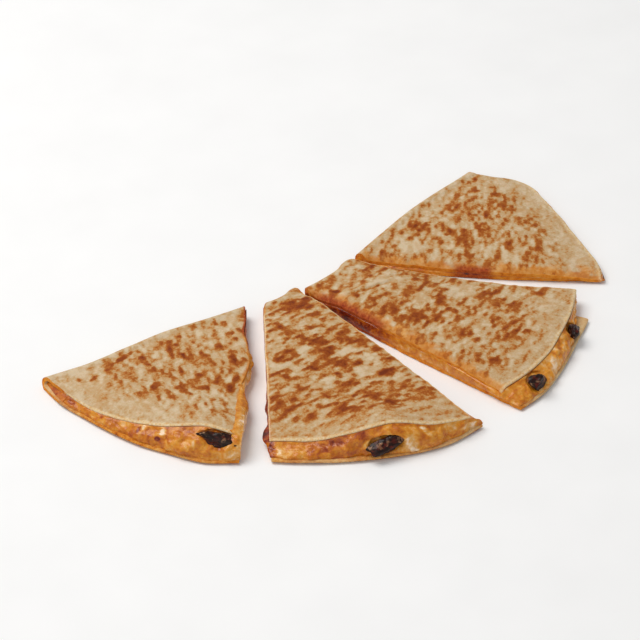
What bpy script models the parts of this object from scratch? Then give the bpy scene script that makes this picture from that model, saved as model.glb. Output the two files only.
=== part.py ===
"""A steak and cheese quesadilla: one flour tortilla folded over its filling, griddled, and cut into
four wedges that have spread a little, so that the half-moon opens towards its rim.

Each wedge is made where it lay in the uncut half-moon. There the fold runs along the X axis, the
half-moon lies at negative Y, the middle of the round tortilla is the origin and the table is Z = 0.
An empty then turns and shifts each wedge to where it rests. Blender's unit is the metre. Lengths
in the design below are in millimetres, and angles in degrees.
"""

import math
from dataclasses import dataclass

import bmesh
import bpy
from mathutils import Matrix, Vector, noise

MM = 0.001

# One layer of the tortilla, and the clearance between pieces that touch.
THICKNESS = 1.9
GAP = 0.3

# At each end of the half-moon this much of the rim, in degrees, closes the wedge beside the fold.
TIP_RIM = 5.5

# Within this distance of the rim the flap goes from the body's height to the rim's.
RIM_REACH = 30.0

# The filling stops this share of a wedge's width short of a tip, and ends in a low front face.
TIP_INSET = 0.02
FRONT_FACE = 0.8

# Steps along each stretch of a wedge's section.
BASE_STEPS = 3
BEND_STEPS = 5
FLAP_STEPS = 10
NOSE_STEPS = 3
BACK_ANGLE = 45.0

# A steak chunk's roundness (2 is an ellipsoid, more is boxier), lump height and lump pitch.
CHUNK_POWER = 3.4
CHUNK_LUMPS = 0.16
CHUNK_PITCH = 1.3
CHUNK_DIVISIONS = 3


@dataclass(frozen=True)
class Cut:
    """A knife cut through one layer: where it leaves the fold, its direction, and how far its middle
    bows towards positive X."""

    start: float
    direction: float
    bow: float = 0.0

    def rim_angle(self, radius):
        """The angle round the tortilla at which the cut meets a circle of this radius."""
        aim = math.radians(self.direction)
        along = self.start * math.cos(aim)
        length = math.sqrt(along**2 - self.start**2 + radius**2) - along
        end = (self.start + length * math.cos(aim), length * math.sin(aim))
        return math.degrees(math.atan2(end[1], end[0])) % 360


@dataclass(frozen=True)
class Tip:
    """An uncut end of the half-moon in one layer: where the fold ends, and where the rim begins."""

    start: float
    angle: float
    bow: float = 0.0

    def rim_angle(self, radius):
        return self.angle


@dataclass(frozen=True)
class Layer:
    """The outline of one layer of a wedge. The rim's radii are at even steps from left to right."""

    left: object
    right: object
    rim: tuple


@dataclass(frozen=True)
class Chunk:
    """A piece of steak: its middle, half sizes, turn about Z, tilt, taper towards its top, and seed."""

    name: str
    middle: tuple
    half: tuple
    turn: float
    tilt: float
    taper: float
    seed: float


@dataclass(frozen=True)
class Wedge:
    """One wedge. Each row of values is at even steps from left to right: how far the fold stands out
    past the X axis, the heights of fold, body and flap's rim, and the filling's inset from the rim."""

    name: str
    turn: float
    shift: tuple
    flap: Layer
    base: Layer
    fold_out: tuple
    fold_heights: tuple
    body_heights: tuple
    rim_heights: tuple
    body_from: float
    body_to: float
    inset: tuple
    steps: int
    chunks: tuple


WEDGES = (
    Wedge(
        name="wedge_1",
        turn=-8.0,
        shift=(3.9, 27.0),
        flap=Layer(
            Tip(-128.5, 180 + TIP_RIM), Cut(-24.5, 237.7), (126.4, 125.4, 122.4, 119.9, 116.0, 115.0)
        ),
        base=Layer(
            Tip(-130.5, 180 + TIP_RIM), Cut(-25.5, 237.3), (130.6, 128.8, 128.3, 128.2, 127.3, 127.6, 124.4)
        ),
        fold_out=(3.8, 1.1, 1.4, 2.0, 0.2, -1.0),
        fold_heights=(5.6, 6.8, 7.6, 7.8, 7.6, 7.4),
        body_heights=(8.8, 9.2, 9.2, 9.2),
        rim_heights=(5.4, 5.6, 6.8, 10.0, 13.0, 12.0),
        body_from=6.0,
        body_to=26.0,
        inset=(1.2, 1.0, 1.2, 0.8, 1.2, 1.0),
        steps=12,
        chunks=(
            Chunk("steak", (-88.0, -79.9, 8.0), (10.0, 3.5, 3.0), -45.0, 2.0, 0.0, 1.0),
        ),
    ),
    Wedge(
        name="wedge_2",
        turn=-7.1,
        shift=(14.0, 22.8),
        flap=Layer(
            Cut(-28.4, 239.1), Cut(-10.0, 274.8), (117.4, 118.2, 119.2, 119.6, 123.0, 124.4)
        ),
        base=Layer(
            Cut(-28.4, 239.3), Cut(-10.0, 277.2), (126.6, 126.2, 126.6, 127.8, 128.5, 126.2)
        ),
        fold_out=(-1.1, -1.6, -1.0, 1.0),
        fold_heights=(7.4, 7.8, 8.0, 8.0),
        body_heights=(9.8, 9.8, 9.8, 9.8),
        rim_heights=(6.2, 7.4, 11.6, 14.6, 11.0, 8.6),
        body_from=6.0,
        body_to=24.0,
        inset=(1.4, 1.0, 1.6, 1.0, 1.4, 0.8),
        steps=9,
        chunks=(
            Chunk("steak", (-39.9, -117.8, 6.7), (8.6, 3.1, 3.1), -7.0, -10.0, 0.0, 2.0),
        ),
    ),
    Wedge(
        name="wedge_3",
        turn=3.7,
        shift=(16.4, 21.1),
        flap=Layer(
            Cut(-10.5, 274.6), Cut(21.5, 302.6, -4.0), (116.0, 118.4, 119.2, 119.2, 119.8, 120.6)
        ),
        base=Layer(
            Cut(-10.5, 275.2, -1.2), Cut(21.5, 295.8, 1.0), (127.0, 127.9, 126.7, 125.7, 125.7, 127.4)
        ),
        fold_out=(1.0, 0.4, 0.8, 3.4),
        fold_heights=(8.0, 8.2, 8.0, 7.6),
        body_heights=(10.4, 10.8, 10.2, 7.4),
        rim_heights=(8.0, 8.8, 9.2, 10.4, 9.2, 8.2),
        body_from=15.0,
        body_to=25.0,
        inset=(0.8, 1.0, 1.2, 1.4, 2.4, 6.5),
        steps=9,
        chunks=(
            Chunk("steak_left", (16.6, -122.9, 6.0), (5.6, 3.1, 3.6), 12.0, 4.0, 0.25, 3.0),
            Chunk("steak_right", (55.8, -109.6, 6.0), (4.4, 2.5, 3.5), 32.0, 0.0, 0.45, 4.0),
        ),
    ),
    Wedge(
        name="wedge_4",
        turn=11.5,
        shift=(18.4, 18.7),
        flap=Layer(
            Cut(25.0, 300.9, -3.5),
            Tip(116.5, 360 - TIP_RIM),
            (130.8, 130.2, 128.3, 126.9, 126.2, 126.6, 127.0, 128.0, 129.2, 127.0, 121.8),
        ),
        base=Layer(
            Cut(23.5, 302.3, -4.0),
            Tip(120.0, 360 - TIP_RIM),
            (132.3, 131.7, 129.9, 128.3, 127.7, 128.0, 128.4, 129.0, 130.0, 130.8, 129.7, 124.5),
        ),
        fold_out=(2.9, 3.6, 4.2, 3.0, 1.5),
        fold_heights=(7.0, 7.6, 7.4, 6.0),
        body_heights=(6.8, 8.0, 8.0, 7.0),
        rim_heights=(4.9, 5.6, 5.8, 6.0, 6.4, 6.2),
        body_from=6.0,
        body_to=26.0,
        inset=(0.8, 0.8, 0.8, 0.8, 0.8, 1.0),
        steps=14,
        chunks=(),
    ),
)

# Colour, roughness and metallic value of each material.
MATERIALS = {
    "tortilla": ((0.60, 0.47, 0.31), 0.72, 0.0),
    "cheese": ((0.80, 0.34, 0.06), 0.30, 0.0),
    "steak": ((0.045, 0.026, 0.020), 0.45, 0.0),
}


def clear_scene():
    for obj in list(bpy.data.objects):
        bpy.data.objects.remove(obj, do_unlink=True)


def make_material(name):
    """A Principled material with the values of the design."""
    colour, roughness, metallic = MATERIALS[name]
    material = bpy.data.materials.new(name)
    material.use_nodes = True
    shader = material.node_tree.nodes["Principled BSDF"]
    shader.inputs["Base Color"].default_value = (*colour, 1.0)
    shader.inputs["Roughness"].default_value = roughness
    shader.inputs["Metallic"].default_value = metallic
    return material


def blend(low, high, share):
    return low + (high - low) * share


def smooth_step(low, high, value):
    """0 below low, 1 above high, and a smooth rise between them."""
    share = min(max((value - low) / (high - low), 0.0), 1.0)
    return share * share * (3 - 2 * share)


def smooth_value(values, share):
    """The value at a share of the way along a smooth curve through evenly spaced values."""
    place = share * (len(values) - 1)
    i = min(int(place), len(values) - 2)
    f = place - i
    before = values[max(i - 1, 0)]
    start, end = values[i], values[i + 1]
    after = values[min(i + 2, len(values) - 1)]
    slope_in = (end - before) / 2
    slope_out = (after - start) / 2
    bend_in = (2 * f**3 - 3 * f**2 + 1) * start + (f**3 - 2 * f**2 + f) * slope_in
    bend_out = (3 * f**2 - 2 * f**3) * end + (f**3 - f**2) * slope_out
    return bend_in + bend_out


def rim_point(layer, share):
    """The point on a layer's rim at a share of the way from its left side to its right side."""
    left = layer.left.rim_angle(layer.rim[0])
    right = layer.right.rim_angle(layer.rim[-1])
    angle = math.radians(blend(left, right, share))
    return smooth_value(layer.rim, share) * Vector((math.cos(angle), math.sin(angle)))


def full_depth(wedge, layer, share):
    """How far the rim of a layer lies from the fold, across the fold's own line."""
    return smooth_value(wedge.fold_out, share) - rim_point(layer, share).y


def plan_point(wedge, layer, share, depth):
    """The point on the line from the fold to the rim, bowed as the cuts are, at this depth."""
    start = blend(layer.left.start, layer.right.start, share)
    fold = Vector((start, smooth_value(wedge.fold_out, share)))
    along = depth / full_depth(wedge, layer, share)
    bow = blend(layer.left.bow, layer.right.bow, share) * 4 * along * (1 - along)
    return fold.lerp(rim_point(layer, share), along) + Vector((bow, 0.0))


def flap_height(wedge, share, depth):
    """The height of the flap's top. It leaves the fold level, crosses the body and meets the rim."""
    bend = smooth_value(wedge.fold_heights, share)
    to_rim = (rim_point(wedge.flap, share) - plan_point(wedge, wedge.flap, share, depth)).length
    rim = smooth_value(wedge.rim_heights, share)
    middle = smooth_value(wedge.body_heights, share)
    body = blend(rim, middle, smooth_step(0.0, RIM_REACH, to_rim))
    return blend(bend, body, smooth_step(bend / 2, wedge.body_to, depth)) - fold_groove(wedge, depth)


def fold_groove(wedge, depth):
    """How much lower the flap stays over the strip beside the fold, where it is pressed flat."""
    strip = 1 - smooth_step(wedge.body_from, wedge.body_to, depth)
    return 0.5 * strip * smooth_step(4.0, wedge.body_from, depth)


def at_height(plan, height):
    return Vector((plan.x, plan.y, height))


def even(low, high, steps):
    """The values from low to high in even steps, with both ends."""
    return [blend(low, high, i / steps) for i in range(steps + 1)]


def tortilla_section(wedge, share):
    """The closed outline of the folded sheet: its outer skin from rim to rim, then its inner skin."""
    outer = []
    inner = []
    bend = smooth_value(wedge.fold_heights, share) / 2
    for depth in even(full_depth(wedge, wedge.base, share), bend, BASE_STEPS):
        plan = plan_point(wedge, wedge.base, share, depth)
        outer.append(at_height(plan, 0.0))
        inner.append(at_height(plan, THICKNESS))
    for turned in even(0.0, 1.0, BEND_STEPS)[1:-1]:
        angle = math.radians(blend(-90, 90, turned))
        for skin, radius in ((outer, bend), (inner, bend - THICKNESS)):
            depth = bend - radius * math.cos(angle)
            low = plan_point(wedge, wedge.base, share, depth)
            high = plan_point(wedge, wedge.flap, share, depth)
            skin.append(at_height(low.lerp(high, turned), bend + radius * math.sin(angle)))
    for depth in even(bend, full_depth(wedge, wedge.flap, share), FLAP_STEPS):
        plan = plan_point(wedge, wedge.flap, share, depth)
        top = flap_height(wedge, share, depth)
        outer.append(at_height(plan, top))
        inner.append(at_height(plan, top - THICKNESS))
    return outer + inner[::-1]


def filling_edge(wedge, share):
    """Where the filling ends on the base layer, a little way in from the base's rim."""
    rim = rim_point(wedge.base, share)
    return rim * (1 - smooth_value(wedge.inset, share) / rim.length)


def filling_section(wedge, share):
    """The closed outline of the filling: along the base from the fold to its front, and back."""
    floor = THICKNESS + GAP
    cover = THICKNESS + GAP
    lower = []
    upper = []
    edge = filling_edge(wedge, share)
    flap_rim = rim_point(wedge.flap, share)
    reach = full_depth(wedge, wedge.flap, share)
    lip = flap_height(wedge, share, reach) - cover
    for out in even(1.0, 0.0, NOSE_STEPS)[:-1]:
        plan = flap_rim.lerp(edge, out)
        foot = floor + FRONT_FACE
        upper.append(at_height(plan, blend(foot, lip, math.sqrt(1 - out**2))))
        lower.append(at_height(plan_below(wedge, share, plan, out), floor))
    bend = smooth_value(wedge.fold_heights, share) / 2
    for depth in even(reach, bend, FLAP_STEPS):
        plan = plan_point(wedge, wedge.flap, share, depth)
        upper.append(at_height(plan, flap_height(wedge, share, depth) - cover))
        lower.append(at_height(plan_point(wedge, wedge.base, share, depth), floor))
    radius = bend - cover
    depth = bend - radius * math.sin(math.radians(BACK_ANGLE))
    rise = radius * math.cos(math.radians(BACK_ANGLE))
    upper.append(at_height(plan_point(wedge, wedge.flap, share, depth), bend + rise))
    lower.append(at_height(plan_point(wedge, wedge.base, share, depth), bend - rise))
    return lower[::-1] + upper


def plan_below(wedge, share, plan, out):
    """The point under the filling's front: on the base's own line, and at the edge where out is 1."""
    depth = smooth_value(wedge.fold_out, share) - plan.y
    return plan_point(wedge, wedge.base, share, depth).lerp(plan, out)


def loft(sections):
    """A closed mesh through outlines whose first half faces their second half, point for point.

    The triangles of the second half mirror those of the first, so that facing skins stay parallel.
    """
    mesh = bmesh.new()
    rings = [[mesh.verts.new(point * MM) for point in section] for section in sections]
    count = len(rings[0])
    for ring, following in zip(rings, rings[1:]):
        for i in range(count):
            j = (i + 1) % count
            if i < count // 2:
                mesh.faces.new((ring[i], ring[j], following[j]))
                mesh.faces.new((ring[i], following[j], following[i]))
            else:
                mesh.faces.new((ring[i], ring[j], following[i]))
                mesh.faces.new((ring[j], following[j], following[i]))
    for ring in (rings[0], rings[-1]):
        for i in range(count // 2 - 1):
            mesh.faces.new((ring[i], ring[i + 1], ring[count - 2 - i], ring[count - 1 - i]))
    bmesh.ops.recalc_face_normals(mesh, faces=mesh.faces)
    return mesh


def chunk_mesh(chunk, grown=0.0):
    """A lumpy rounded block of steak, or that block grown by a clearance on every side."""
    mesh = bmesh.new()
    bmesh.ops.create_icosphere(mesh, subdivisions=CHUNK_DIVISIONS, radius=1.0)
    for vert in mesh.verts:
        aim = vert.co.normalized()
        spread = sum(abs(part) ** CHUNK_POWER for part in aim) ** (1 / CHUNK_POWER)
        lump = 1 + CHUNK_LUMPS * noise.noise(aim * CHUNK_PITCH + Vector((chunk.seed, 0, 0)) * 7.0)
        place = aim * lump / spread
        place.x *= 1 - chunk.taper * place.z
        half = Vector(chunk.half) + Vector((grown, grown, grown))
        vert.co = Vector(part * size for part, size in zip(place, half))
    turn = Matrix.Rotation(math.radians(chunk.turn), 4, "Z")
    tilt = Matrix.Rotation(math.radians(chunk.tilt), 4, "Y")
    move = Matrix.Translation(chunk.middle)
    bmesh.ops.transform(mesh, matrix=Matrix.Scale(MM, 4) @ move @ turn @ tilt, verts=mesh.verts)
    return mesh


def make_object(name, mesh, material, parent):
    """An object from a bmesh, with its material, shaded smooth and carried by a wedge's empty."""
    data = bpy.data.meshes.new(name)
    mesh.to_mesh(data)
    mesh.free()
    data.materials.append(material)
    data.shade_smooth()
    data.set_sharp_from_angle(angle=math.radians(40))
    obj = bpy.data.objects.new(name, data)
    bpy.context.scene.collection.objects.link(obj)
    obj.parent = parent
    return obj


def make_empty(name, parent=None):
    empty = bpy.data.objects.new(name, None)
    bpy.context.scene.collection.objects.link(empty)
    empty.parent = parent
    return empty


def cut_pocket(filling, chunk, parent):
    """Cuts the chunk's place, with its clearance, out of the filling."""
    cutter = make_object(f"{filling.name}_{chunk.name}_cutter", chunk_mesh(chunk, GAP), None, parent)
    cutter.hide_render = True
    cutter.display_type = "WIRE"
    pocket = filling.modifiers.new(f"{chunk.name}_pocket", "BOOLEAN")
    pocket.operation = "DIFFERENCE"
    pocket.solver = "EXACT"
    pocket.object = cutter


def filling_shares(wedge):
    """The shares at which the filling is sectioned. The first or last stops short of a tip."""
    shares = even(0.0, 1.0, wedge.steps)
    if isinstance(wedge.base.left, Tip):
        shares[0] = TIP_INSET
    if isinstance(wedge.base.right, Tip):
        shares[-1] = 1 - TIP_INSET
    return shares


def make_wedge(wedge, materials, stand):
    """A wedge's tortilla, filling and steak, on an empty that places them. Returns the pieces."""
    place = make_empty(f"{wedge.name}_place", stand)
    place.location = Vector((*wedge.shift, 0.0)) * MM
    place.rotation_euler.z = math.radians(wedge.turn)
    sheet = loft([tortilla_section(wedge, share) for share in even(0.0, 1.0, wedge.steps)])
    tortilla = make_object(f"{wedge.name}_tortilla", sheet, materials["tortilla"], place)
    layer = loft([filling_section(wedge, share) for share in filling_shares(wedge)])
    filling = make_object(f"{wedge.name}_cheese", layer, materials["cheese"], place)
    pieces = [tortilla, filling]
    for chunk in wedge.chunks:
        name = f"{wedge.name}_{chunk.name}"
        pieces.append(make_object(name, chunk_mesh(chunk), materials["steak"], place))
        cut_pocket(filling, chunk, place)
    return pieces


def centre_on_origin(stand, pieces):
    """Moves everything so that the middle of the box round the pieces stands on the origin."""
    bpy.context.view_layer.update()
    graph = bpy.context.evaluated_depsgraph_get()
    corners = []
    for piece in pieces:
        shape = piece.evaluated_get(graph)
        corners += [shape.matrix_world @ vert.co for vert in shape.data.vertices]
    low = [min(corner[i] for corner in corners) for i in range(3)]
    high = [max(corner[i] for corner in corners) for i in range(3)]
    stand.location = (-(low[0] + high[0]) / 2, -(low[1] + high[1]) / 2, -low[2])


def main():
    clear_scene()
    materials = {name: make_material(name) for name in MATERIALS}
    stand = make_empty("quesadilla")
    pieces = []
    for wedge in WEDGES:
        pieces += make_wedge(wedge, materials, stand)
    centre_on_origin(stand, pieces)


main()
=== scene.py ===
"""Looks of the quesadilla: four wedges of a folded, griddled tortilla with melted cheese and steak.

Each wedge is rebuilt finely from the same design as its CAD solids: where it lay in the uncut
half-moon, with the fold along the X axis and the middle of the round tortilla as the origin. Then
it is turned and set on its CAD node's box. Design lengths are in millimetres and angles in degrees.
"""

import math
from dataclasses import dataclass

import bmesh
import bpy
import numpy as np
from mathutils import Matrix, Vector
from mathutils import noise as blender_noise


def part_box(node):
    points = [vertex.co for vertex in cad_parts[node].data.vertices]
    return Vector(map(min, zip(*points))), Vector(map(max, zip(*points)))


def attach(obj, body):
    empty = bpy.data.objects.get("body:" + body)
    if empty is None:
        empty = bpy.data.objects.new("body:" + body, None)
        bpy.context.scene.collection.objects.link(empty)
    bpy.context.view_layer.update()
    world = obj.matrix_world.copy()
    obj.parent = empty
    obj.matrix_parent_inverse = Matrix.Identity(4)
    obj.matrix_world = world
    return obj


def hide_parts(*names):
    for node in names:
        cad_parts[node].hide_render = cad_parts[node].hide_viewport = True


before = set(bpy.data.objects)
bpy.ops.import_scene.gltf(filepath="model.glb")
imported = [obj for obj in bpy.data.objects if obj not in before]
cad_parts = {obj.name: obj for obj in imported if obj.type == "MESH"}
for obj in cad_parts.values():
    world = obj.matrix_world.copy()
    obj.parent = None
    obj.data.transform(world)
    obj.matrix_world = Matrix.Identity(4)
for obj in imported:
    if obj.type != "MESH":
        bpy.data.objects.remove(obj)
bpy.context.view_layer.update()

MM = 0.001

# The design shared with the CAD: one layer's thickness, the rim that closes a tip, the flap's reach
# from body to rim, and the filling's inset at a tip.
THICKNESS = 1.9
TIP_RIM = 5.5
RIM_REACH = 30.0
TIP_INSET = 0.02
FRONT_FACE = 0.8
BACK_ANGLE = 45.0


@dataclass(frozen=True)
class Cut:
    """A knife cut through one layer: where it leaves the fold, its direction, and its bow."""

    start: float
    direction: float
    bow: float = 0.0

    def rim_angle(self, radius):
        aim = math.radians(self.direction)
        along = self.start * math.cos(aim)
        length = math.sqrt(along**2 - self.start**2 + radius**2) - along
        end = (self.start + length * math.cos(aim), length * math.sin(aim))
        return math.degrees(math.atan2(end[1], end[0])) % 360


@dataclass(frozen=True)
class Tip:
    """An uncut end of the half-moon in one layer: where the fold ends, and where the rim begins."""

    start: float
    angle: float
    bow: float = 0.0

    def rim_angle(self, radius):
        return self.angle


@dataclass(frozen=True)
class Layer:
    """The outline of one layer of a wedge. The rim's radii are at even steps from left to right."""

    left: object
    right: object
    rim: tuple


@dataclass(frozen=True)
class Chunk:
    """A piece of steak: its middle, half sizes, turn about Z, tilt, taper to its top, and seed."""

    name: str
    middle: tuple
    half: tuple
    turn: float
    tilt: float
    taper: float
    seed: float


@dataclass(frozen=True)
class Wedge:
    """One wedge, as in the CAD, with what only shows here.

    Pairs are for the left and the right cut, and their lists are at even steps from the fold to the
    rim: ooze is how far the filling stands out, trim how far the flap stays back from the cut (or,
    where negative, stands out over it), drop how far its edge is pressed down, tint how wide its
    golden edge is, pale how wide its pale edge is, and cut_tones_and_painted_light the filling's
    tone
    there: its own red, orange and yellow, with painted highlights and painted shade in it. sear is
    how far the filling's red juice reaches onto the flap.
    front_tones and stains, of the filling and the base's rim, are at even steps from left to right.
    melt_and_highlights has places of the front with another tone, among them painted highlights,
    which are the brightest: share from left to right, share from the flap to the base, half sizes,
    tone. toast is how browned the wedge is, bare the width of its pale margin and grain the
    direction of its small marks. marks are toasted places (or pale ones, with a negative strength):
    x, y, half length, half width, turn, strength. creases are fine folds of the flap, with painted
    shade along
    them: the two ends, and the depth.
    """

    name: str
    turn: float
    flap: Layer
    base: Layer
    fold_out: tuple
    fold_heights: tuple
    body_heights: tuple
    rim_heights: tuple
    body_from: float
    body_to: float
    inset: tuple
    chunks: tuple
    ooze: tuple
    trim: tuple
    drop: tuple
    tint: tuple
    pale: tuple
    sear: float
    cut_tones_and_painted_light: tuple
    front_tones: tuple
    stains: tuple
    melt_and_highlights: tuple
    toast: float
    bare: float
    grain: float
    marks: tuple
    creases: tuple = ()


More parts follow.
